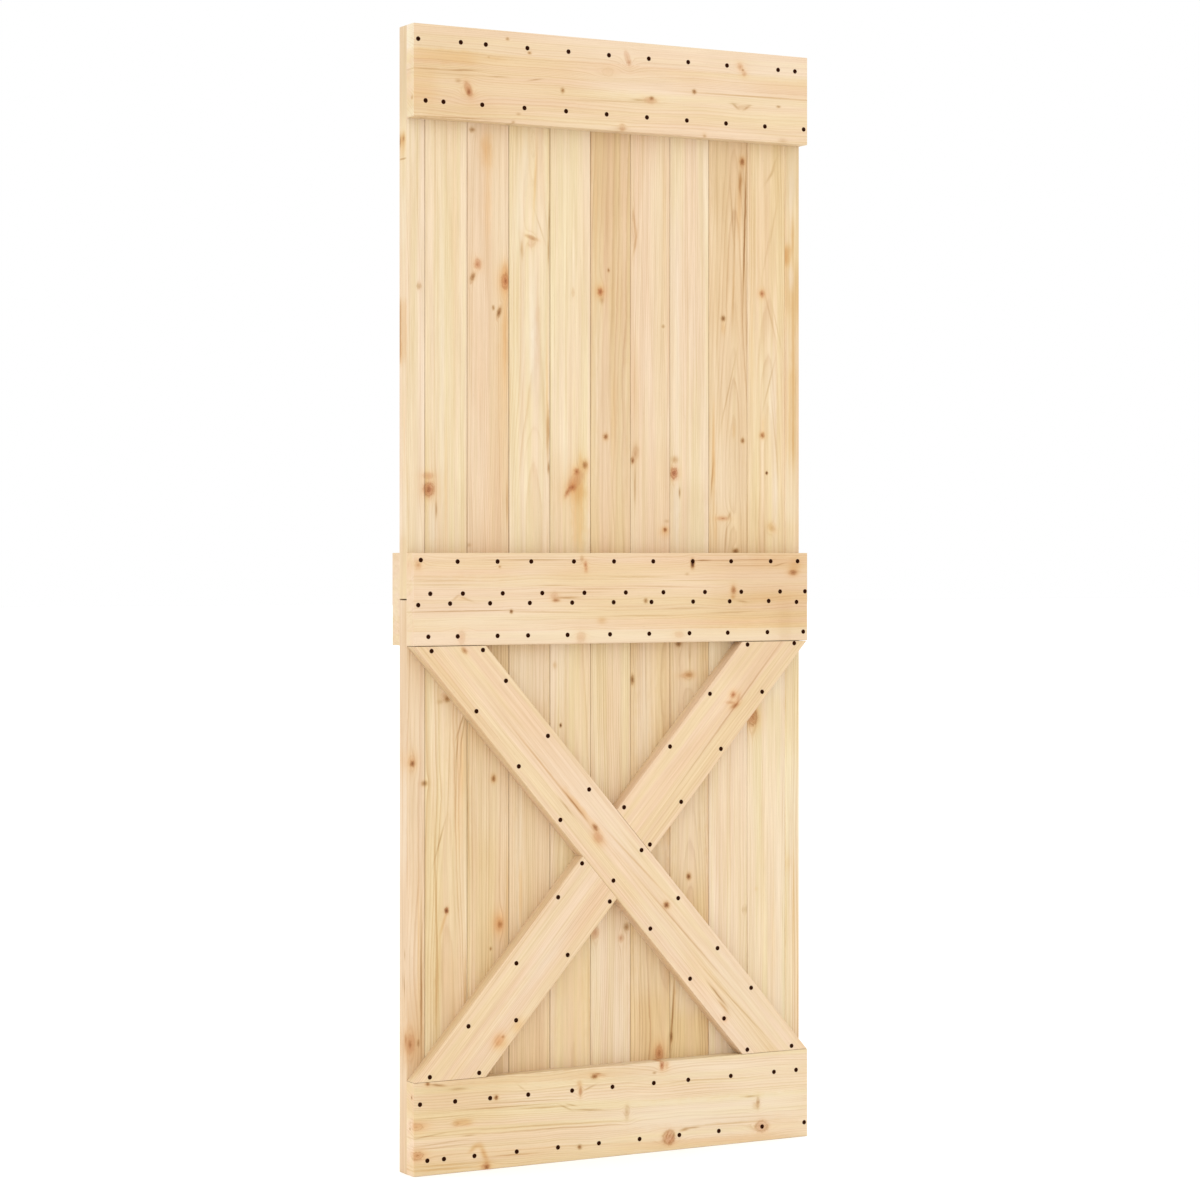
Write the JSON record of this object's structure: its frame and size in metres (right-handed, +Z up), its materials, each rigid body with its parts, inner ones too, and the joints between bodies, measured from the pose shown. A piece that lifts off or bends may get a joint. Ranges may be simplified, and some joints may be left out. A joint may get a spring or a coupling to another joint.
{
  "type": "sliding plank door panel",
  "caption": "Untreated pine plank door leaf for a face-mounted sliding track, with top, middle and bottom rails and a diagonal cross of braces in its lower field.",
  "frame": {"origin": "centre of the top rail's front face, where the door is hung from its hangers", "axes": "+X to the right seen from the front, +Y from the front face to the back, +Z up"},
  "size_m": [0.85, 0.09, 2.1],
  "materials": {
    "pine_boards": "untreated, planed",
    "pine_rails": "untreated, planed",
    "pine_braces": "untreated, planed",
    "screws": "black phosphate"
  },
  "bodies": {
    "root": {"upper_board_01": "pine_boards", "upper_board_02": "pine_boards", "upper_board_03": "pine_boards", "upper_board_04": "pine_boards", "upper_board_05": "pine_boards", "upper_board_06": "pine_boards", "upper_board_07": "pine_boards", "upper_board_08": "pine_boards", "upper_board_09": "pine_boards", "upper_board_10": "pine_boards", "upper_board_11": "pine_boards", "lower_board_01": "pine_boards", "lower_board_02": "pine_boards", "lower_board_03": "pine_boards", "lower_board_04": "pine_boards", "lower_board_05": "pine_boards", "lower_board_06": "pine_boards", "lower_board_07": "pine_boards", "lower_board_08": "pine_boards", "lower_board_09": "pine_boards", "lower_board_10": "pine_boards", "lower_board_11": "pine_boards", "top_rail": "pine_rails", "front_mid_rail": "pine_rails", "bottom_rail": "pine_rails", "back_mid_rail": "pine_rails", "long_brace": "pine_braces", "upper_short_brace": "pine_braces", "lower_short_brace": "pine_braces"}
  },
  "joints": []
}
